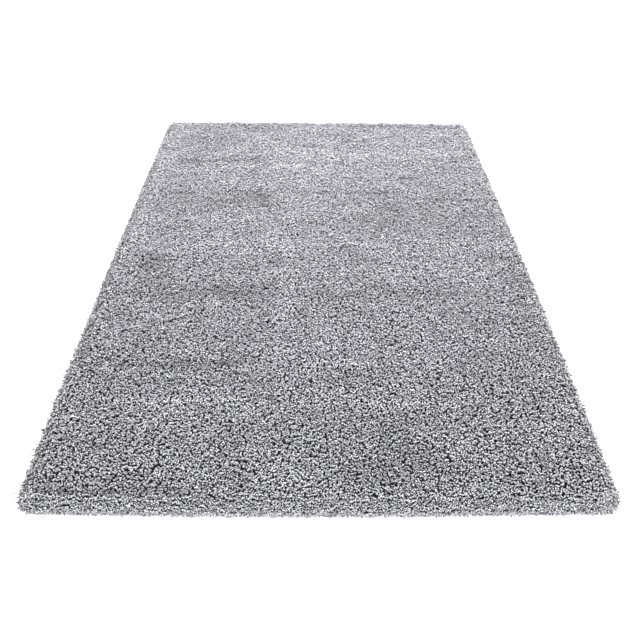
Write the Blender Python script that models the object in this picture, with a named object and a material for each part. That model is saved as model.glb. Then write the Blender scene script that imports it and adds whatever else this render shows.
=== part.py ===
"""Shag rug, 1.6 x 2.3 m, lying flat: one piece, a lumpy slab of pile with locks of yarn round its rim.

Metres, +Z up. The origin is the middle of the underside, on the floor. +X runs across the width and
+Y along the length. Everything is worked out from the driving dimensions below.
"""

import math
import random

import bmesh
import bpy
from mathutils import Vector, noise

# Driving dimensions, over the tips of the pile
RUG_WIDTH = 1.600
RUG_LENGTH = 2.300
PILE_HEIGHT = 0.030
CORNER_RADIUS = 0.056
SIDE_BOW = 0.009
END_BOW = 0.010

# Half sizes of the straight-sided plan, which the bow then widens to the full width and length
HALF_X = RUG_WIDTH / 2 - SIDE_BOW
HALF_Y = RUG_LENGTH / 2 - END_BOW

# Columns of the rim, in each of which a lock can stand
LOCK_PITCH = 0.014
CORNER_COLUMNS = 6

# Lumps of the top: a grid of them, each as wide as a few clumps of yarn
LUMPS_ACROSS = 30
LUMPS_ALONG = 44
LUMPS_INSET = 0.092
LUMP_SHIFT = 0.012
LUMP_RISE = 0.0034
WAVE_RISE = 0.0022
WAVE_PITCH = 0.190
RIM_DROP = 0.0040
RIM_DROP_WIDTH = 0.060

# Rim of the slab, from its crown down to the floor. out is measured from the reach of the locks.
RIM_RINGS = (
    # ring, out, height, unevenness
    ("crown", -0.052, 0.0280, 0.0016),
    ("shoulder", -0.030, 0.0240, 0.0024),
    ("waist", -0.018, 0.0140, 0.0018),
    ("foot", -0.014, 0.0000, 0.0000),
)

# Locks in two tiers, in turn round the rim. The upper ones droop, the lower ones lie on the floor.
LOCK_TIERS = (
    # tier, band of the rim, column in its pair, knee out, knee low, knee high, tip out, tip height
    ("upper", 1, 0, -0.0110, 0.0075, 0.0160, 0.0000, 0.0035),
    ("lower", 2, 2, -0.0080, 0.0000, 0.0070, 0.0000, 0.0000),
)
COLUMNS_PER_PAIR = 4
LOCK_SHORTER = 0.30
LOCK_SWAY = 0.0050
KNEE_WIDTH = 0.70

SEED = 11

YARN_GREY = (0.52, 0.52, 0.55, 1.0)
YARN_ROUGHNESS = 0.9


def clear_scene():
    """Removes the startup objects."""
    for old in list(bpy.data.objects):
        bpy.data.objects.remove(old)


def yarn_material():
    """The mixed greys of the yarn as one dull colour."""
    material = bpy.data.materials.new("shag yarn")
    material.use_nodes = True
    shader = material.node_tree.nodes["Principled BSDF"]
    shader.inputs["Base Color"].default_value = YARN_GREY
    shader.inputs["Roughness"].default_value = YARN_ROUGHNESS
    shader.inputs["Metallic"].default_value = 0.0
    material.diffuse_color = YARN_GREY
    return material


def corner_centre(point):
    """The centre of the nearest corner arc, or the nearest point of the rectangle that joins the four."""
    reach_x = HALF_X - CORNER_RADIUS
    reach_y = HALF_Y - CORNER_RADIUS
    return Vector((max(-reach_x, min(reach_x, point.x)), max(-reach_y, min(reach_y, point.y)), 0))


def outward(point):
    """The direction square to the rim, in plan, at a point near it."""
    return (Vector((point.x, point.y, 0)) - corner_centre(point)).normalized()


def set_out(point, out, height):
    """Moves a point near the rim, square to it, to a distance from the reach of the locks."""
    place = corner_centre(point) + (CORNER_RADIUS + out) * outward(point)
    point.x, point.y, point.z = place.x, place.y, height


def rim_outline():
    """Points round the reach of the locks: four corner arcs, and whole pairs of locks between them."""
    arcs = []
    for turn in range(4):
        side_x = 1 if turn in (0, 3) else -1
        side_y = 1 if turn in (0, 1) else -1
        centre = Vector((side_x * (HALF_X - CORNER_RADIUS), side_y * (HALF_Y - CORNER_RADIUS), 0))
        for step in range(CORNER_COLUMNS + 1):
            angle = math.pi / 2 * (turn + step / CORNER_COLUMNS)
            arcs.append(centre + CORNER_RADIUS * Vector((math.cos(angle), math.sin(angle), 0)))
    points = []
    for here, there in zip(arcs, arcs[1:] + arcs[:1]):
        pairs = round((there - here).length / LOCK_PITCH / COLUMNS_PER_PAIR)
        steps = max(1, COLUMNS_PER_PAIR * pairs)
        points += [here.lerp(there, step / steps) for step in range(steps)]
    return points


def make_top(chance):
    """The top of the pile: a grid of lumps, and round it a strip out to the crown of the rim."""
    pile = bmesh.new()
    bmesh.ops.create_grid(pile, x_segments=LUMPS_ACROSS, y_segments=LUMPS_ALONG, size=0.5)
    lumps = list(pile.verts)
    bmesh.ops.scale(pile, verts=lumps, vec=(2 * (HALF_X - LUMPS_INSET), 2 * (HALF_Y - LUMPS_INSET), 1))
    crown = [pile.verts.new(point) for point in rim_outline()]
    for vert in crown:
        set_out(vert.co, RIM_RINGS[0][1], 0)
    for here, there in zip(crown, crown[1:] + crown[:1]):
        pile.edges.new((here, there))
    borders = [edge for edge in pile.edges if len(edge.link_faces) < 2]
    bmesh.ops.triangle_fill(pile, edges=borders, use_beauty=True, normal=(0, 0, 1))
    for vert in lumps:
        raise_lump(vert, chance)
    for vert in crown:
        vert.co.z = RIM_RINGS[0][2] + chance.uniform(-1, 1) * RIM_RINGS[0][3]
    return pile


def raise_lump(vert, chance):
    """Lifts one lump to the pile's height, unevenly, and lower near the rim."""
    inset = min(HALF_X - abs(vert.co.x), HALF_Y - abs(vert.co.y))
    wave = noise.noise(vert.co / WAVE_PITCH)
    drop = RIM_DROP * math.exp(-inset / RIM_DROP_WIDTH)
    vert.co.z = PILE_HEIGHT + WAVE_RISE * wave + LUMP_RISE * chance.uniform(-1, 1) - drop
    vert.co.x += LUMP_SHIFT * chance.uniform(-1, 1)
    vert.co.y += LUMP_SHIFT * chance.uniform(-1, 1)


def roll_over_rim(pile, chance):
    """Carries the crown's edge out and down to the floor and closes the underside. Returns the bands."""
    edges = [edge for edge in pile.edges if edge.is_boundary]
    bands = []
    for _, out, height, uneven in RIM_RINGS[1:]:
        made = bmesh.ops.extrude_edge_only(pile, edges=edges)["geom"]
        for vert in [part for part in made if isinstance(part, bmesh.types.BMVert)]:
            shift = uneven * chance.uniform(-1, 1)
            set_out(vert.co, out + shift, height + uneven * chance.uniform(-1, 1))
        edges = [part for part in made if isinstance(part, bmesh.types.BMEdge) and part.is_boundary]
        bands.append([part for part in made if isinstance(part, bmesh.types.BMFace)])
    bmesh.ops.contextual_create(pile, geom=edges)
    return bands


def bearing(face):
    """Where a face of the rim lies, as an angle seen from the middle of the rug."""
    middle = face.calc_center_median()
    return math.atan2(middle.y, middle.x)


def grow_lock(pile, face, tier, chance):
    """Draws one four-sided lock of yarn out of a face of the rim: root, knee and pointed tip."""
    _, _, _, knee_out, knee_low, knee_high, tip_out, tip_height = tier
    root = face.calc_center_median()
    spoke = outward(root)
    along_rim = Vector((-spoke.y, spoke.x, 0))
    root_out = (root - corner_centre(root)).dot(spoke) - CORNER_RADIUS
    length = 1 - LOCK_SHORTER * chance.random()
    sway = LOCK_SWAY * chance.uniform(-1, 1)

    knee = bmesh.ops.extrude_discrete_faces(pile, faces=[face])["faces"][0]
    for vert in knee.verts:
        beside = KNEE_WIDTH * (vert.co - root).dot(along_rim) + sway / 2
        height = knee_high if vert.co.z > root.z else knee_low
        vert.co = root + (knee_out - root_out) * length * spoke + beside * along_rim
        vert.co.z = height
    tip = bmesh.ops.poke(pile, faces=[knee])["verts"][0]
    tip.co = root + (tip_out - root_out) * length * spoke + sway * along_rim
    tip.co.z = tip_height


def bow_out(vert):
    """Moves a point of the straight-sided plan to the real one, whose sides and ends bow out a little."""
    across = vert.co.x / HALF_X
    along = vert.co.y / HALF_Y
    vert.co.x += SIDE_BOW * across * max(1 - along * along, 0)
    vert.co.y += END_BOW * along * max(1 - across * across, 0)


def make_rug():
    """The whole rug as one closed body."""
    chance = random.Random(SEED)
    pile = make_top(chance)
    bands = [sorted(band, key=bearing) for band in roll_over_rim(pile, chance)]
    for tier in LOCK_TIERS:
        band, column = tier[1], tier[2]
        for face in bands[band][column::COLUMNS_PER_PAIR]:
            grow_lock(pile, face, tier, chance)
    for vert in pile.verts:
        bow_out(vert)
    bmesh.ops.recalc_face_normals(pile, faces=pile.faces)
    mesh = bpy.data.meshes.new("shag_rug")
    pile.to_mesh(mesh)
    pile.free()
    mesh.shade_smooth()
    return bpy.data.objects.new("shag_rug", mesh)


def main():
    clear_scene()
    parts = bpy.data.collections.new("shag rug")
    bpy.context.scene.collection.children.link(parts)
    rug = make_rug()
    rug.data.materials.append(yarn_material())
    parts.objects.link(rug)


main()
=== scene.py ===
"""The looks of the shag rug: its ground cloth, the bed of its pile, and the pile strand by strand."""

import math

import bmesh
import bpy
import numpy as np
from mathutils import Matrix, Vector
from mathutils.bvhtree import BVHTree
from mathutils.kdtree import KDTree


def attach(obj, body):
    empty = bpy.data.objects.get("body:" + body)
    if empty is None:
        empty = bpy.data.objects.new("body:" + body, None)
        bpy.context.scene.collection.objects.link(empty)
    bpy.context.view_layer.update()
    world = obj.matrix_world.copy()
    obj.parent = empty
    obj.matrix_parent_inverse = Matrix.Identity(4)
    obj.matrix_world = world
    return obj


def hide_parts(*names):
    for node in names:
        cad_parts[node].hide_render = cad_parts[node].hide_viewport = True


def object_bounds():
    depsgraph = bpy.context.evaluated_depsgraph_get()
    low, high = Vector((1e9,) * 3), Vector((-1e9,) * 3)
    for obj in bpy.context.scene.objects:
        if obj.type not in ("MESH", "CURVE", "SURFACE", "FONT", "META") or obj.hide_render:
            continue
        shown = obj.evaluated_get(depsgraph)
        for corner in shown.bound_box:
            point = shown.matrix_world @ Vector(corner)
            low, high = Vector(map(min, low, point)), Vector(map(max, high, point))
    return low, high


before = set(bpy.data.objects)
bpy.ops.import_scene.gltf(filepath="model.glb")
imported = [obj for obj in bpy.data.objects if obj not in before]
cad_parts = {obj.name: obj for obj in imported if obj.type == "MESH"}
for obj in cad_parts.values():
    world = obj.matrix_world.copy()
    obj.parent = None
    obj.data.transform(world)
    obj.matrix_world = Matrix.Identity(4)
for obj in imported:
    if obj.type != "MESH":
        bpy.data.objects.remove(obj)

CAD_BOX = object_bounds()


# Camera. It stands where the photo was taken from, at the height of a standing person's chest, in front
# of one end of the rug and looking down along its length. The small turn and tilt are those of a camera
# held by hand.

CAMERA_HEIGHT = 1.412
CAMERA_BACK = 0.783
CAMERA_ASIDE = -0.0183
CAMERA_DOWN = math.radians(42.63)
CAMERA_TURN = math.radians(-0.81)
CAMERA_TILT = math.radians(0.73)
LENS_MM = 33.75

camera = bpy.data.objects.new("camera", bpy.data.cameras.new("camera"))
camera.data.lens = LENS_MM
stand = Matrix.Translation((CAMERA_ASIDE, CAD_BOX[0].y - CAMERA_BACK, CAMERA_HEIGHT))
aim = Matrix.Rotation(CAMERA_TURN, 4, "Z") @ Matrix.Rotation(math.pi / 2 - CAMERA_DOWN, 4, "X")
camera.matrix_world = stand @ aim @ Matrix.Rotation(CAMERA_TILT, 4, "Z")
bpy.context.scene.collection.objects.link(camera)
bpy.context.scene.camera = camera


# Ground cloth. The cloth that holds the pile: jute wefts packed close across wider-spaced warps, 3 mm
# thick with its latex. It ends inside the reach of the yarn, which spills over its cut edge, so it shows
# only from below.

SIDE_BOW = 0.009
END_BOW = 0.010
HALF_X = (CAD_BOX[1].x - CAD_BOX[0].x) / 2 - SIDE_BOW
HALF_Y = (CAD_BOX[1].y - CAD_BOX[0].y) / 2 - END_BOW
CORNER_RADIUS = 0.056
CORNER_STEPS = 12
CLOTH_INSET = 0.020
CLOTH_THICK = 0.003
CLOTH_POINTS = 560
JUTE = "#a89c86"
JUTE_SHADE = "#7d725f"
WARP_PITCH = 0.0045
WEFT_PITCH = 0.0032
SLUBS_PER_METRE = 300.0
RIB_HEIGHT = 0.001
WAVE_BAND = math.pi / 10            # how wide one band of a Wave texture is at scale 1
COLOUR_A, COLOUR_B = 6, 7           # a Mix node's inputs for two colours
COLOUR_OUT = 2                      # and its output for their mix


def bow_out(x, y):
    """Moves points of the straight-sided plan to the rug's own plan, whose sides and ends bow out."""
    across, along = x / HALF_X, y / HALF_Y
    bowed_x = x + SIDE_BOW * across * np.maximum(1 - along ** 2, 0)
    bowed_y = y + END_BOW * along * np.maximum(1 - across ** 2, 0)
    return bowed_x, bowed_y


def outline_at(shares, inset):
    """Points of the straight-sided plan drawn in by inset, at shares of its length round, as x, y and the
    bearing of the way out."""
    bearing = np.concatenate([np.linspace(turn, turn + 1, CORNER_STEPS + 1) for turn in range(4)])
    bearing = np.append(bearing, 4) * math.pi / 2
    middle_x = np.append(np.repeat([1, -1, -1, 1], CORNER_STEPS + 1), 1) * (HALF_X - CORNER_RADIUS)
    middle_y = np.append(np.repeat([1, 1, -1, -1], CORNER_STEPS + 1), 1) * (HALF_Y - CORNER_RADIUS)
    x = middle_x + (CORNER_RADIUS - inset) * np.cos(bearing)
    y = middle_y + (CORNER_RADIUS - inset) * np.sin(bearing)
    run = np.append(0, np.cumsum(np.hypot(np.diff(x), np.diff(y))))
    return [np.interp(shares, run / run[-1], values) for values in (x, y, bearing)]


def linear(hex_colour):
    """An sRGB hex colour as linear RGBA."""
    shares = [int(hex_colour[start:start + 2], 16) / 255 for start in (1, 3, 5)]
    return [s / 12.92 if s <= 0.04045 else ((s + 0.055) / 1.055) ** 2.4 for s in shares] + [1.0]


def add(tree, kind, inputs=None, **settings):
    """Adds a node with its settings. inputs maps a socket's name or number to a value, to an output, or to
    a node, whose first output it then takes."""
    made = tree.nodes.new(kind)
    for name, value in settings.items():
        setattr(made, name, value)
    for key, value in (inputs or {}).items():
        source = value.outputs[0] if isinstance(value, bpy.types.Node) else value
        if isinstance(source, bpy.types.NodeSocket):
            tree.links.new(source, made.inputs[key])
        else:
            made.inputs[key].default_value = source
    return made


def new_material(name):
    """An empty material with its Principled shader, as (material, tree, shader)."""
    material = bpy.data.materials.new(name)
    material.use_nodes = True
    return material, material.node_tree, material.node_tree.nodes["Principled BSDF"]


def place_piece(name, mesh):
    """A mesh as a piece of the scene: part of the one body, in place of the solid."""
    piece = bpy.data.objects.new(name, mesh)
    bpy.context.scene.collection.objects.link(piece)
    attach(piece, "root")
    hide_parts("shag_rug")
    return piece


def woven_jute():
    """Woven jute: dull and fibrous. The weave gives small square ribs with painted shade in the grooves
    between threads, and each thread is uneven.
    """
    material, tree, shader = new_material("woven_jute_ground")
    shader.inputs["Roughness"].default_value = 0.95
    shader.inputs["Specular IOR Level"].default_value = 0.2
    place = add(tree, "ShaderNodeTexCoord").outputs["Object"]
    warp = add(tree, "ShaderNodeTexWave", {"Vector": place, "Scale": WAVE_BAND / WARP_PITCH},
               bands_direction="X").outputs["Fac"]
    weft = add(tree, "ShaderNodeTexWave", {"Vector": place, "Scale": WAVE_BAND / WEFT_PITCH},
               bands_direction="Y").outputs["Fac"]
    weave = add(tree, "ShaderNodeMath", {0: warp, 1: weft}, operation="MULTIPLY")
    slubs = add(tree, "ShaderNodeTexNoise", {"Vector": place, "Scale": SLUBS_PER_METRE, "Detail": 3.0})
    uneven = add(tree, "ShaderNodeMath", {0: weave, 1: slubs}, operation="MULTIPLY")
    # Painted shade: darker where the weave runs low between threads; the slubs are the jute's own
    # unevenness.
    colours = add(tree, "ShaderNodeMix", {"Factor": uneven, COLOUR_A: linear(JUTE_SHADE),
                                          COLOUR_B: linear(JUTE)}, data_type="RGBA")
    ribs = add(tree, "ShaderNodeBump", {"Height": weave, "Strength": 0.6, "Distance": RIB_HEIGHT})
    tree.links.new(colours.outputs[COLOUR_OUT], shader.inputs["Base Color"])
    tree.links.new(ribs.outputs["Normal"], shader.inputs["Normal"])
    return material


def closed_layer(name, outline, thick):
    """A flat closed layer on the floor, of the given thickness. Its outline runs counterclockwise."""
    shape = bmesh.new()
    low = [shape.verts.new((x, y, 0)) for x, y in outline]
    high = [shape.verts.new((x, y, thick)) for x, y in outline]
    shape.faces.new(low[::-1])
    shape.faces.new(high)
    for side in range(len(outline)):
        shape.faces.new((low[side - 1], low[side], high[side], high[side - 1]))
    bmesh.ops.triangulate(shape, faces=shape.faces)
    mesh = bpy.data.meshes.new(name)
    shape.to_mesh(mesh)
    shape.free()
    return mesh


cloth_x, cloth_y, _ = outline_at(np.arange(CLOTH_POINTS) / CLOTH_POINTS, CLOTH_INSET)
cloth_mesh = closed_layer("ground_cloth", np.column_stack(bow_out(cloth_x, cloth_y)), CLOTH_THICK)
cloth_mesh.materials.append(woven_jute())
ground_cloth = place_piece("ground_cloth", cloth_mesh)


# Bed of the pile. The lower half of the yarn, where the strands stand so close that they are one dark
# mass. Its dark colours are painted shade, the grey yarn darkened as the strands' shade would darken it.
# It follows the waves of the solid's top and rounds down over the cloth's cut edge at its rim.

BED_ACROSS = 78
BED_ALONG = 112
BED_SHARE = 0.42                    # how high it stands, as a share of the solid's top
BED_ROUND = 0.030
BED_LUMP = 0.0016
BED_INSET = 0.016
BED_BASE = 0.0006
BED_SEED = 3
# Painted shade: both bed colours are the grey yarn darkened as if in shade.
BED_SHADE = "#0e0d0f"
BED_SHADED_YARN = "#2c2b2f"
BED_ENDS_PER_METRE = 210.0
BED_ENDS_HEIGHT = 0.003
slab_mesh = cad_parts["shag_rug"].data
slab = BVHTree.FromPolygons([v.co for v in slab_mesh.vertices], [p.vertices for p in slab_mesh.polygons])


def solid_top(x, y):
    """The height of the solid's top at points of the rug's own plan."""
    hits = [slab.ray_cast(Vector((px, py, 1)), Vector((0, 0, -1)))[0] for px, py in zip(x, y)]
    return np.array([hit.z if hit else 0 for hit in hits])


def inset_of(x, y):
    """How far points of the straight-sided plan lie inside the reach of the yarn."""
    over_x = np.abs(x) - (HALF_X - CORNER_RADIUS)
    over_y = np.abs(y) - (HALF_Y - CORNER_RADIUS)
    past = np.hypot(np.maximum(over_x, 0), np.maximum(over_y, 0))
    return CORNER_RADIUS - past - np.minimum(np.maximum(over_x, over_y), 0)


def painted_shade_yarn():
    """Yarn seen end on, in painted shade: dull and dark, with the paler ends of single strands in it."""
    material, tree, shader = new_material("matted_yarn_bed")
    shader.inputs["Roughness"].default_value = 0.95
    shader.inputs["Specular IOR Level"].default_value = 0.15
    place = add(tree, "ShaderNodeTexCoord").outputs["Object"]
    ends = add(tree, "ShaderNodeTexNoise", {"Vector": place, "Scale": BED_ENDS_PER_METRE, "Detail": 2.0})
    colours = add(tree, "ShaderNodeMix", {"Factor": ends, COLOUR_A: linear(BED_SHADE),
                                          COLOUR_B: linear(BED_SHADED_YARN)}, data_type="RGBA")
    humps = add(tree, "ShaderNodeBump", {"Height": ends, "Strength": 1.0, "Distance": BED_ENDS_HEIGHT})
    tree.links.new(colours.outputs[COLOUR_OUT], shader.inputs["Base Color"])
    tree.links.new(humps.outputs["Normal"], shader.inputs["Normal"])
    return material


bed_shape = bmesh.new()
bmesh.ops.create_grid(bed_shape, x_segments=BED_ACROSS, y_segments=BED_ALONG, size=1)
bed_chance = np.random.default_rng(BED_SEED)
bed_half_x, bed_half_y, bed_corner = HALF_X - BED_INSET, HALF_Y - BED_INSET, CORNER_RADIUS - BED_INSET
for vert in bed_shape.verts:
    vert.co = Vector((vert.co.x * bed_half_x, vert.co.y * bed_half_y, 0))
    corner = Vector((math.copysign(bed_half_x - bed_corner, vert.co.x),
                     math.copysign(bed_half_y - bed_corner, vert.co.y), 0))
    spoke = vert.co - corner
    if spoke.x * corner.x > 0 and spoke.y * corner.y > 0 and spoke.length > bed_corner:
        vert.co = corner + spoke.normalized() * bed_corner
plan = np.array([vert.co for vert in bed_shape.verts])
bed_x, bed_y = bow_out(plan[:, 0], plan[:, 1])
inside = (inset_of(plan[:, 0], plan[:, 1]) - BED_INSET) / BED_ROUND
rounding = np.sqrt(np.clip(1 - (1 - np.clip(inside, 0, 1)) ** 2, 0, 1))
bed_top = solid_top(bed_x, bed_y) * BED_SHARE + bed_chance.uniform(-1, 1, len(plan)) * BED_LUMP
bed_top = BED_BASE + (bed_top - BED_BASE) * rounding
for vert, x, y, z in zip(bed_shape.verts, bed_x, bed_y, bed_top):
    vert.co = (x, y, z)
bed_rim = [edge for edge in bed_shape.edges if edge.is_boundary]
bmesh.ops.contextual_create(bed_shape, geom=bed_rim)
bmesh.ops.recalc_face_normals(bed_shape, faces=bed_shape.faces)
bed_mesh = bpy.data.meshes.new("pile_bed")
bed_shape.to_mesh(bed_mesh)
bed_shape.free()
bed_mesh.shade_smooth()
bed_mesh.materials.append(painted_shade_yarn())
pile_bed = place_piece("pile_bed", bed_mesh)


# Field of the pile. Heat-set polypropylene yarn stands 30 mm high and curls over at the top, each strand
# its own way. It is made in long lanes side by side, one mesh to a lane. Only the upper half of a strand
# is made, and its foot stands in the bed.

LANES = 5
FIELD_INSET = 0.0455
EDGE_LIFT = 0.0026                  # the field's outermost strands rise to the crown of the rim
EDGE_FADE = 0.030
STRAND_PITCH = 0.0049
PITCH_JITTER = 0.0017
YARN_THICK = 0.0044
GIRTH = (0.82, 1.24)                # a strand's own thickness, as a share of the yarn's
SIDES = 3
RINGS = 3                           # foot, knee and tip
WIRE_STEP = 0.001                   # between the points of the straight wire that is bent to a strand
JOIN_WITHIN = 0.00001
STROKE = (0.0042, 0.0078)           # how far a strand runs level, from its knee to its tip
STROKE_ASKEW = 0.25                 # how much more often it runs across the rug than along it
KNEE_SHARE = 0.35
KNEE_SPREAD = 0.0038
KNEE_MOST = 0.0075
TIP_DIP = (-0.0020, 0.0045)
STEM = 0.016
STEM_LEAN = 0.0030
CLUMP_PITCH = (0.021, 0.0115)       # across the rug and along it
CLUMP_PULL = 0.14
GAP_WIDTH = 0.0024
GAP_DEPTH = 0.0048
GAP_PATCH = 0.17                    # the size of the patches in which the gaps are open or closed
GAP_OPEN = 0.6                      # how open the gaps are halfway between closed and fully open
GAP_ACROSS = 1.5                    # a power that favours the gaps that run across the rug
SOFT_WAVES = 9
SOFT_RANGE = (0.7, 1.5)
BAND_PITCHES = ((0.50, 0.070), (0.13, 0.022))
LIE_RISE = 0.0011
# How much painted light and shade the pile's lie puts into the colour.
LIE_PAINTED_SHADING = 0.135
LIE_UNEVEN = 0.30
MARKS = (
    # middle x, middle y, half length, half width, how high with painted light (or low with painted shade)
    (-0.58, -1.09, 0.30, 0.014, -2.5),
    (0.22, -0.98, 0.10, 0.090, -1.0),
    (-0.29, -0.714, 0.30, 0.013, -1.8),
    (-0.42, -0.635, 0.22, 0.014, -2.0),
    (-0.36, -0.285, 0.22, 0.050, -1.4),
    (0.28, -0.297, 0.28, 0.020, -1.4),
    (-0.61, -0.21, 0.05, 0.032, -1.8),
    (-0.62, -0.087, 0.055, 0.036, -2.2),
    (0.69, -0.075, 0.10, 0.011, -1.6),
    (0.19, -0.096, 0.04, 0.012, -1.8),
    (0.36, 0.22, 0.20, 0.110, -0.9),
    (0.68, 0.22, 0.10, 0.011, -2.2),
    (0.66, 0.345, 0.125, 0.012, -2.8),
    (-0.48, 0.325, 0.14, 0.014, -2.8),
    (-0.31, 0.345, 0.11, 0.060, -1.8),
    (0.15, 0.398, 0.26, 0.011, -2.8),
    (-0.60, 0.396, 0.06, 0.014, -2.6),
    (0.41, 0.532, 0.04, 0.018, -3.0),
    (-0.47, 0.695, 0.23, 0.013, -2.8),
    (-0.02, 0.852, 0.09, 0.013, -2.2),
    (0.185, 0.90, 0.10, 0.014, -2.0),
    (0.45, 0.844, 0.08, 0.012, -2.0),
    (-0.53, 0.92, 0.15, 0.120, -1.4),
    (-0.28, 1.03, 0.13, 0.040, -1.7),
    (-0.22, 0.297, 0.045, 0.015, -1.8),
    (-0.45, 0.302, 0.035, 0.015, -1.5),
    (0.40, 0.355, 0.17, 0.011, -1.4),
    (0.33, 1.07, 0.30, 0.013, -1.8),
    (-0.09, 1.07, 0.11, 0.012, -2.0),
    (-0.10, -1.067, 0.07, 0.035, 1.8),
    (-0.39, -0.79, 0.19, 0.015, 1.9),
    (0.16, -0.797, 0.22, 0.014, 1.5),
    (0.07, -0.637, 0.14, 0.013, 2.0),
    (-0.115, -0.36, 0.04, 0.380, 0.8),
    (0.35, -0.17, 0.15, 0.022, 1.2),
    (0.56, -0.165, 0.09, 0.045, 1.3),
    (0.02, 0.005, 0.76, 0.035, 1.2),
    (-0.155, -0.025, 0.035, 0.026, 1.9),
    (-0.72, 0.62, 0.05, 0.160, 1.1),
    (-0.73, 0.18, 0.04, 0.240, 0.9),
    (-0.14, 0.628, 0.08, 0.032, 2.2),
    (-0.11, 0.785, 0.18, 0.032, 1.0),
    (0.54, 0.78, 0.05, 0.045, 1.0),
)
MARK_SWAY = 0.003
SWAY_PITCH = 0.16
REST_HEIGHT = 0.0026                # how low the middle of a strand may lie, so that it rests on the floor
FIELD_SEED = 5
LIGHT_YARN = "#cccdd1"
MID_YARN = "#bbbbc0"
DARK_YARN = "#57535a"
TONE_SPREAD = (2.2, 2.0)            # the two shape numbers of the beta spread of the strands' tones
TONE_STOPS = (0.05, 0.5, 0.95)
PLY_PITCH = 0.0075
PLY_TONE = 0.34
PLY_STEP = 0.618                    # how far each twist is shifted along its strand from the last one's
FIBRES_PER_METRE = 420.0
FIBRE_RANGE = (0.3, 0.7)
FIBRE_TONE = 0.30
# Painted shade: a strand's colour darkens from SHADE_ALONG down to SHADE_MOST at its foot.
SHADE_ALONG = (0.35, 0.58)          # where along a strand the shade of the gaps fades out
SHADE_MOST = 0.04
CELL_MARGIN = (0.08, 0.04)


def soft_noise(x, y, pitch, chance):
    """Smooth noise of about -1 to 1 over the rug, with lumps about pitch across, from crossed waves."""
    total = np.zeros_like(x)
    for _ in range(SOFT_WAVES):
        angle = chance.uniform(0, math.pi)
        wave = chance.uniform(*SOFT_RANGE) * pitch * 2
        phase = (x * math.cos(angle) + y * math.sin(angle)) / wave * 2 * math.pi
        total += np.sin(phase + chance.uniform(0, 2 * math.pi))
    return total / math.sqrt(SOFT_WAVES)


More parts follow.
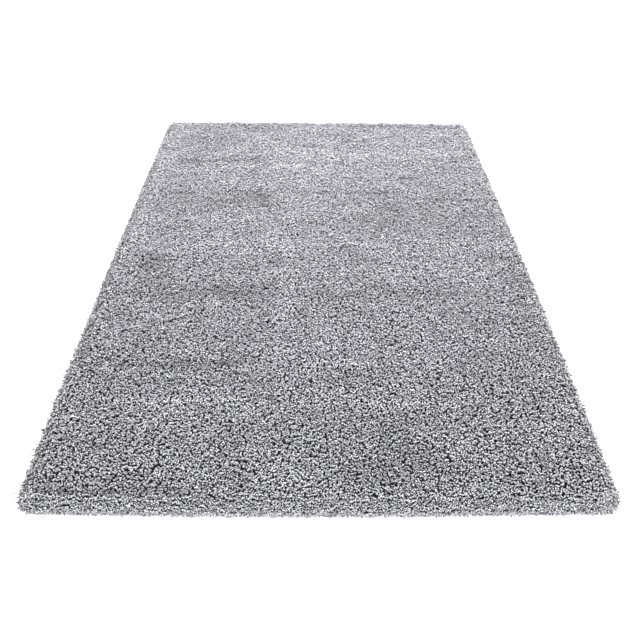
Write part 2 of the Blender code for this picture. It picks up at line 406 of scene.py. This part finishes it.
def yarn_tree():
    """Bends a wire from each strand's foot over its knee to its tip, and sweeps it to yarn. The hidden foot
    and the cut tip both come to a point."""
    tree = bpy.data.node_groups.new("yarn_strands", "GeometryNodeTree")
    for name, kind in (("Feet", "Geometry"), ("Thickness", "Float"), ("Lowest", "Float"),
                       ("Join Within", "Float"), ("Rings", "Int"), ("Sides", "Int"),
                       ("Yarn", "Material")):
        tree.interface.new_socket(name, in_out="INPUT", socket_type="NodeSocket" + kind)
    tree.interface.new_socket("Strands", in_out="OUTPUT", socket_type="NodeSocketGeometry")
    given = add(tree, "NodeGroupInput").outputs
    index = add(tree, "GeometryNodeInputIndex")

    # One straight wire for each foot. "along" runs from 0 at the foot to 1 at the tip.
    line = add(tree, "GeometryNodeMeshLine", {"Count": given["Rings"], "Offset": (0, 0, WIRE_STEP)})
    spans = add(tree, "ShaderNodeMath", {0: given["Rings"], 1: 1}, operation="SUBTRACT")
    share = add(tree, "ShaderNodeMath", {0: index, 1: spans}, operation="DIVIDE")
    marked = add(tree, "GeometryNodeStoreNamedAttribute",
                 {"Geometry": line, "Name": "along", "Value": share}, data_type="FLOAT", domain="POINT")
    wire = add(tree, "GeometryNodeMeshToCurve", {"Mesh": marked})
    copies = add(tree, "GeometryNodeInstanceOnPoints", {"Points": given["Feet"], "Instance": wire})
    wires = add(tree, "GeometryNodeRealizeInstances", {"Geometry": copies})

    # The bend. The knee's share is 1 halfway and 0 at both ends, and the tip's is 1 at the tip alone.
    along, girth, foot, knee, tip = (
        add(tree, "GeometryNodeInputNamedAttribute", {"Name": name}, data_type=kind)
        for name, kind in (("along", "FLOAT"), ("girth", "FLOAT"), ("foot", "FLOAT_VECTOR"),
                           ("knee", "FLOAT_VECTOR"), ("tip", "FLOAT_VECTOR")))
    rest = add(tree, "ShaderNodeMath", {0: 1, 1: along}, operation="SUBTRACT")
    hump = add(tree, "ShaderNodeMath", {0: along, 1: rest}, operation="MULTIPLY")
    knee_share = add(tree, "ShaderNodeMath", {0: hump, 1: 4}, operation="MULTIPLY")
    past_knee = add(tree, "ShaderNodeMath", {0: along, 1: 2, 2: -1}, operation="MULTIPLY_ADD")
    tip_share = add(tree, "ShaderNodeMath", {0: along, 1: past_knee}, operation="MULTIPLY")
    by_knee = add(tree, "ShaderNodeVectorMath", {0: knee, "Scale": knee_share}, operation="SCALE")
    by_tip = add(tree, "ShaderNodeVectorMath", {0: tip, "Scale": tip_share}, operation="SCALE")
    bend = add(tree, "ShaderNodeVectorMath", {0: by_knee, 1: by_tip}, operation="ADD")
    point = add(tree, "ShaderNodeVectorMath", {0: foot, 1: bend}, operation="ADD")
    parts = add(tree, "ShaderNodeSeparateXYZ", {0: point}).outputs
    lowest = add(tree, "ShaderNodeMath", {0: parts[2], 1: given["Lowest"]}, operation="MAXIMUM")
    rested = add(tree, "ShaderNodeCombineXYZ", {0: parts[0], 1: parts[1], 2: lowest})
    bent = add(tree, "GeometryNodeSetPosition", {"Geometry": wires, "Position": rested})

    # The yarn. "around" runs once round a strand, which swells from a point at each end to its knee.
    swell = add(tree, "ShaderNodeMath", {0: knee_share, 1: girth}, operation="MULTIPLY")
    radius = add(tree, "ShaderNodeMath", {0: given["Thickness"], 1: 0.5}, operation="MULTIPLY")
    ring = add(tree, "GeometryNodeCurvePrimitiveCircle", {"Resolution": given["Sides"], "Radius": radius})
    turn = add(tree, "ShaderNodeMath", {0: index, 1: given["Sides"]}, operation="DIVIDE")
    numbered = add(tree, "GeometryNodeStoreNamedAttribute",
                   {"Geometry": ring, "Name": "around", "Value": turn}, data_type="FLOAT", domain="POINT")
    swept = add(tree, "GeometryNodeCurveToMesh",
                {"Curve": bent, "Profile Curve": numbered, "Scale": swell, "Fill Caps": True})
    joined = add(tree, "GeometryNodeMergeByDistance",
                 {"Geometry": swept, "Distance": given["Join Within"]})
    smooth = add(tree, "GeometryNodeSetShadeSmooth", {"Geometry": joined})
    yarn = add(tree, "GeometryNodeSetMaterial", {"Geometry": smooth, "Material": given["Yarn"]})
    add(tree, "NodeGroupOutput", {0: yarn})
    return tree


def set_input(modifier, name, value):
    """Sets a named input of a Geometry Nodes modifier by its socket's identifier."""
    sockets = modifier.node_group.interface.items_tree
    modifier[next(s.identifier for s in sockets if s.name == name and s.in_out == "INPUT")] = value


def give_cells(mesh, strands):
    """Two UV maps: one winds round and along each strand, and one gives each strand a cell of its own."""
    corners = np.empty(len(mesh.loops), int)
    mesh.loops.foreach_get("vertex_index", corners)
    sizes = np.empty(len(mesh.polygons), int)
    mesh.polygons.foreach_get("loop_total", sizes)
    faces = np.repeat(np.arange(len(sizes)), sizes)
    values = []
    for name, kind in (("along", float), ("around", float), ("strand", int)):
        flat = np.empty(len(mesh.vertices), kind)
        mesh.attributes[name].data.foreach_get("value", flat)
        values.append(flat[corners])
    along, around, strand = values

    # A face's corner at a point of the spindle takes its u from the face's other corners, and a face that
    # closes the ring ends at u = 1, not back at 0.
    at_end = np.abs(along - 0.5) > 0.49
    ringed = np.bincount(faces, ~at_end)
    middle = np.bincount(faces, np.where(at_end, 0, around)) / ringed
    at_seam = (np.abs(middle - 1 / SIDES) < 0.01)[faces] & (around < 0.01)
    u = np.where(at_seam, 1.0, around)
    middle = np.bincount(faces, np.where(at_end, 0, u)) / ringed
    u = np.where(at_end, middle[faces], u)
    twist = np.column_stack((u, along + strand * PLY_STEP % 1))
    mesh.uv_layers.new(name="Twist").data.foreach_set("uv", twist.ravel())
    cells = math.ceil(math.sqrt(strands))
    column, row = strand % cells, strand // cells
    in_column = CELL_MARGIN[0] + (1 - 2 * CELL_MARGIN[0]) * u
    in_row = CELL_MARGIN[1] + (1 - 2 * CELL_MARGIN[1]) * along
    cell = np.column_stack((column + in_column, row + in_row)) / cells
    mesh.uv_layers.new(name="OFBake").data.foreach_set("uv", cell.ravel())


def heat_set_yarn():
    """Heat-set polypropylene: light, mid and dark grey strands with a dull sheen, striped by the twist of
    their plies, with painted shade towards the foot and painted light and shade where the pile lies high
    or low. Single fibres are too fine to show, so they are drawn coarser."""
    material, tree, shader = new_material("heat_set_shag_yarn")
    shader.inputs["Roughness"].default_value = 0.75
    shader.inputs["Specular IOR Level"].default_value = 0.25
    shader.inputs["Sheen Weight"].default_value = 0.1
    shader.inputs["Sheen Roughness"].default_value = 0.5
    tone, along, lie = (add(tree, "ShaderNodeAttribute", attribute_name=name).outputs["Fac"]
                        for name in ("tone", "along", "lie"))
    place = add(tree, "ShaderNodeTexCoord").outputs["Object"]
    fibres = add(tree, "ShaderNodeTexNoise", {"Vector": place, "Scale": FIBRES_PER_METRE, "Detail": 2.0})
    spread = add(tree, "ShaderNodeMapRange",
                 {"Value": fibres, "From Min": FIBRE_RANGE[0], "From Max": FIBRE_RANGE[1],
                  "To Min": -FIBRE_TONE, "To Max": FIBRE_TONE})
    round_and_up = add(tree, "ShaderNodeSeparateXYZ",
                       {0: add(tree, "ShaderNodeUVMap", uv_map="Twist")}).outputs
    turns = add(tree, "ShaderNodeMath", {0: round_and_up[1], 1: (STEM + STROKE[1]) / PLY_PITCH,
                                         2: round_and_up[0]}, operation="MULTIPLY_ADD")
    angle = add(tree, "ShaderNodeMath", {0: turns, 1: 2 * math.pi}, operation="MULTIPLY")
    ply = add(tree, "ShaderNodeMath", {0: angle}, operation="SINE")
    plied = add(tree, "ShaderNodeMath", {0: ply, 1: PLY_TONE, 2: spread}, operation="MULTIPLY_ADD")
    mixed = add(tree, "ShaderNodeMath", {0: tone, 1: plied}, operation="ADD")
    greys = add(tree, "ShaderNodeValToRGB", {"Fac": mixed})
    stops = greys.color_ramp.elements
    stops[0].position, stops[0].color = TONE_STOPS[0], linear(DARK_YARN)
    stops[1].position, stops[1].color = TONE_STOPS[2], linear(LIGHT_YARN)
    stops.new(TONE_STOPS[1]).color = linear(MID_YARN)
    # Painted shade: darker towards the foot, as the gaps between strands would shade it.
    painted_foot_shade = add(tree, "ShaderNodeMapRange",
                {"Value": along, "From Min": SHADE_ALONG[0], "From Max": SHADE_ALONG[1],
                 "To Min": SHADE_MOST, "To Max": 1.0})
    # Painted light and shade: lighter where the pile lies high, darker in its low marks and troughs.
    lit = add(tree, "ShaderNodeMath", {0: lie, 1: LIE_PAINTED_SHADING, 2: 1.0}, operation="MULTIPLY_ADD")
    shade = add(tree, "ShaderNodeMath", {0: painted_foot_shade, 1: lit}, operation="MULTIPLY")
    shaded = add(tree, "ShaderNodeMix", {"Factor": 1.0, COLOUR_A: greys, COLOUR_B: shade},
                 data_type="RGBA", blend_type="MULTIPLY")
    tree.links.new(shaded.outputs[COLOUR_OUT], shader.inputs["Base Color"])
    return material


def grow_pile(name, foot, knee, tip, lie, chance):
    """A mesh of strands from their feet, with knees and tips given from the foot, as a piece."""
    tone = chance.beta(*TONE_SPREAD, len(foot))
    girth = chance.uniform(*GIRTH, len(foot))
    feet = bpy.data.meshes.new(name)
    feet.vertices.add(len(foot))
    feet.vertices.foreach_set("co", foot.ravel())
    for label, vectors in (("foot", foot), ("knee", knee), ("tip", tip)):
        feet.attributes.new(label, "FLOAT_VECTOR", "POINT").data.foreach_set("vector", vectors.ravel())
    for label, values in (("tone", tone), ("girth", girth), ("lie", lie)):
        feet.attributes.new(label, "FLOAT", "POINT").data.foreach_set("value", values)
    feet.attributes.new("strand", "INT", "POINT").data.foreach_set("value", np.arange(len(foot)))
    grower = bpy.data.objects.new(name + "_feet", feet)
    bpy.context.scene.collection.objects.link(grower)
    strands = grower.modifiers.new("yarn_strands", "NODES")
    strands.node_group = yarn_strands
    for socket, value in (("Thickness", YARN_THICK), ("Lowest", REST_HEIGHT),
                          ("Join Within", JOIN_WITHIN), ("Rings", RINGS), ("Sides", SIDES),
                          ("Yarn", shag_yarn)):
        set_input(strands, socket, value)
    grown = bpy.data.meshes.new_from_object(grower.evaluated_get(bpy.context.evaluated_depsgraph_get()))
    bpy.data.objects.remove(grower)
    grown.name = name
    give_cells(grown, len(foot))
    return place_piece(name, grown)


def lie_of_pile(x, y, chance):
    """How high the pile lies at each point, which also gives it painted light and shade: soft streaks
    across the rug, from when it was rolled, and the marks of its folds."""
    lie = np.zeros_like(x)
    for wide, deep in BAND_PITCHES:
        lie += LIE_UNEVEN * soft_noise(x / wide, y / deep, 1, chance)
    sway = MARK_SWAY * soft_noise(x, x * 0, SWAY_PITCH, chance)
    for middle_x, middle_y, long, wide, strength in MARKS:
        lie += strength * np.exp(-((x - middle_x) / long) ** 4 - ((y - middle_y - sway) / wide) ** 2)
    return lie


def clump_gaps(x, y, chance):
    """The strands cling in clumps: each one's step to its clump's middle, and how open its gap is. The gaps
    that run across the rug are the open ones."""
    wide, deep = CLUMP_PITCH
    columns, rows = np.arange(-HALF_X, HALF_X, wide) / wide, np.arange(-HALF_Y, HALF_Y, deep) / deep
    middles = np.array([(column, row, 0) for row in rows for column in columns])
    middles[:, :2] += chance.uniform(-0.5, 0.5, (len(middles), 2))
    tree = KDTree(len(middles))
    for index, middle in enumerate(middles):
        tree.insert(middle, index)
    tree.balance()
    found = [tree.find_n((px / wide, py / deep, 0), 2) for px, py in zip(x, y)]
    near = np.array([pair[0][0] for pair in found])
    apart = np.array([pair[1][0] - pair[0][0] for pair in found])
    margin = np.array([pair[1][2] - pair[0][2] for pair in found]) * deep
    across = np.abs(apart[:, 1]) / np.hypot(apart[:, 0], apart[:, 1])
    patch = np.clip(GAP_OPEN * (1 + soft_noise(x, y * 2, GAP_PATCH, chance)), 0, GAP_OPEN * 2)
    openness = patch * across ** GAP_ACROSS * np.exp(-(margin / GAP_WIDTH) ** 2)
    return near[:, 0] * wide - x, near[:, 1] * deep - y, openness


def plant_field(chance):
    """Foot, knee and tip of every strand of the field, and the pile's lie there."""
    rows = np.arange(-HALF_Y, HALF_Y, STRAND_PITCH)
    stitches = np.arange(-HALF_X, HALF_X, STRAND_PITCH)
    x, y = (grid.ravel() for grid in np.meshgrid(stitches, rows))
    x = x + np.repeat(np.arange(len(rows)) % 2, len(stitches)) * STRAND_PITCH / 2
    x = x + chance.normal(0, PITCH_JITTER, x.size)
    y = y + chance.normal(0, PITCH_JITTER, y.size)
    inset = inset_of(x, y)
    inside = inset > FIELD_INSET
    edge = np.exp(-((inset[inside] - FIELD_INSET) / EDGE_FADE) ** 2)
    x, y = bow_out(x[inside], y[inside])
    heading = chance.uniform(0, 2 * math.pi, x.size)
    heading -= STROKE_ASKEW * np.sin(2 * heading)
    stroke = chance.uniform(*STROKE, x.size)
    lie = lie_of_pile(x, y, chance)
    to_x, to_y, gap = clump_gaps(x, y, chance)
    x, y = x + to_x * CLUMP_PULL, y + to_y * CLUMP_PULL
    ahead_x, ahead_y = stroke * np.cos(heading), stroke * np.sin(heading)
    knee_z = solid_top(x, y) - YARN_THICK / 2
    knee_z += np.clip(chance.normal(0, KNEE_SPREAD, x.size), -KNEE_MOST, KNEE_MOST)
    knee_z += LIE_RISE * lie - GAP_DEPTH * gap + EDGE_LIFT * edge
    knee = np.column_stack((x - ahead_x * KNEE_SHARE, y - ahead_y * KNEE_SHARE, knee_z))
    tip = np.column_stack((x + ahead_x * (1 - KNEE_SHARE), y + ahead_y * (1 - KNEE_SHARE),
                           knee_z - chance.uniform(*TIP_DIP, x.size)))
    lean = chance.normal(0, STEM_LEAN, (x.size, 2))
    foot = knee - np.column_stack((lean, np.full(x.size, STEM)))
    return foot, knee - foot, tip - foot, lie


yarn_strands = yarn_tree()
shag_yarn = heat_set_yarn()
field_chance = np.random.default_rng(FIELD_SEED)
foot, knee, tip, lie = plant_field(field_chance)
lane_of = np.argsort(np.argsort(foot[:, 0])) * LANES // len(foot)
for number in range(LANES):
    mine = lane_of == number
    grow_pile(f"pile_lane_{number + 1}", foot[mine], knee[mine], tip[mine],
                                 lie[mine], field_chance)


# Rim of the pile. The outermost rows of the same yarn have nothing beside them to lean on, so they splay
# out over the cloth's edge, roll down to the floor and rest there. The rug's long sides are the more
# ragged ones.

RIM_WIDTH = 0.044
RIM_START = 0.0026
RIM_HEIGHT = 0.0292
RIM_MOST = 0.0396
RIM_ROWS = 14
RIM_STEM = 0.019
RIM_LEAN = math.radians(78)
RIM_PUFF = 0.0052
RIM_PUFF_PITCH = 0.036
RIM_SPREAD = 0.0016
SIDE_SPREAD = 0.0032
RIM_DROOP = 0.4                     # how far inside the roll strands mostly lie, as a share of the spread
RIM_JITTER_DOWN = 0.04
RIM_JITTER_ALONG = 0.15             # as a share of the pitch
RIM_SEED = 9


def plant_rim(chance):
    """Foot, knee and tip of every strand of the rim, in rows from its crown down to the floor."""
    planted = []
    count = round(4 * (HALF_X + HALF_Y) / STRAND_PITCH)
    up = np.array((0.0, 0.0, 1.0))
    for row in range(RIM_ROWS):
        shares = (np.arange(count) + (row % 2) / 2) / count
        shares = shares + chance.normal(0, RIM_JITTER_ALONG, count) / count
        down = (row + 0.5) / RIM_ROWS * math.pi / 2
        down = np.clip(down + chance.normal(0, RIM_JITTER_DOWN, count), 0, math.pi / 2)
        inset = RIM_START + RIM_WIDTH * (1 - np.sin(down))
        x, y, bearing = outline_at(shares % 1, 0)
        puff = RIM_PUFF * np.cos(down) * soft_noise(x, y, RIM_PUFF_PITCH, chance)
        out = np.column_stack((np.cos(bearing), np.sin(bearing), np.zeros(count)))
        side = np.column_stack((-np.sin(bearing), np.cos(bearing), np.zeros(count)))
        face = out * np.sin(down)[:, None] + up * np.cos(down)[:, None]
        fall = out * np.cos(down)[:, None] - up * np.sin(down)[:, None]
        crest = np.column_stack((x, y, RIM_HEIGHT * np.cos(down) - YARN_THICK / 2)) - out * inset[:, None]
        sideways = np.abs(np.cos(bearing))
        spread = chance.normal(-RIM_DROOP, 1, count) * (RIM_SPREAD + SIDE_SPREAD * sideways)
        crest += face * (puff + spread)[:, None]
        crest[:, 2] = np.minimum(crest[:, 2], RIM_MOST)
        heading = chance.uniform(0, 2 * math.pi, count)
        stroke = chance.uniform(*STROKE, count)
        ahead = side * (stroke * np.cos(heading))[:, None] + fall * (stroke * np.sin(heading))[:, None]
        knee = crest - ahead * KNEE_SHARE
        tip = crest + ahead * (1 - KNEE_SHARE) - face * chance.uniform(*TIP_DIP, count)[:, None]
        lean = RIM_LEAN * (down / (math.pi / 2))
        foot = knee - RIM_STEM * (out * np.sin(lean)[:, None] + up * np.cos(lean)[:, None])
        foot[:, 2] = np.maximum(foot[:, 2], BED_BASE)
        planted.append((foot, knee - foot, tip - foot))
    foot, knee, tip = (np.concatenate(rows) for rows in zip(*planted))
    foot[:, 0], foot[:, 1] = bow_out(foot[:, 0], foot[:, 1])
    return foot, knee, tip


rim_chance = np.random.default_rng(RIM_SEED)
foot, knee, tip = plant_rim(rim_chance)
grow_pile("pile_rim", foot, knee, tip, np.zeros(len(foot)), rim_chance)


# Studio. A plain white floor, lit from within like a light table so that it shows no shadow. Soft white
# light comes from all round, from a large lamp above the far end of the rug, and a little from the front.

FLOOR_HALF = 9.0
FLOOR_DROP = 0.0008
FLOOR_WHITE = "#f4f4f4"
FLOOR_GLOW = 0.55
SKY_WHITE = "#ffffff"
SKY_STRENGTH = 0.69
LAMPS = (
    # name, watts, size, place
    ("key_light", 250.0, 2.0, (0.0, 1.3, 2.2)),
    ("fill_light", 160.0, 2.0, (0.4, -3.4, 2.4)),
)

floor_shape = bmesh.new()
bmesh.ops.create_grid(floor_shape, x_segments=1, y_segments=1, size=FLOOR_HALF)
bmesh.ops.translate(floor_shape, verts=floor_shape.verts, vec=(0, 0, -FLOOR_DROP))
floor_mesh = bpy.data.meshes.new("floor")
floor_shape.to_mesh(floor_mesh)
floor_shape.free()
paint, paint_tree, paint_shader = new_material("lit_white_acrylic")
paint_shader.inputs["Base Color"].default_value = linear(FLOOR_WHITE)
paint_shader.inputs["Roughness"].default_value = 0.9
paint_shader.inputs["Emission Color"].default_value = linear(FLOOR_WHITE)
paint_shader.inputs["Emission Strength"].default_value = FLOOR_GLOW
floor_mesh.materials.append(paint)
floor = bpy.data.objects.new("floor", floor_mesh)
bpy.context.scene.collection.objects.link(floor)

world = bpy.data.worlds.new("studio")
world.use_nodes = True
world.node_tree.nodes["Background"].inputs["Color"].default_value = linear(SKY_WHITE)
world.node_tree.nodes["Background"].inputs["Strength"].default_value = SKY_STRENGTH
bpy.context.scene.world = world

for name, watts, size, place in LAMPS:
    lamp = bpy.data.objects.new(name, bpy.data.lights.new(name, "AREA"))
    lamp.data.energy = watts
    lamp.data.size = size
    lamp.location = place
    lamp.rotation_euler = (-Vector(place)).to_track_quat("-Z", "Y").to_euler()
    bpy.context.scene.collection.objects.link(lamp)
bpy.context.scene.view_settings.view_transform = "Standard"
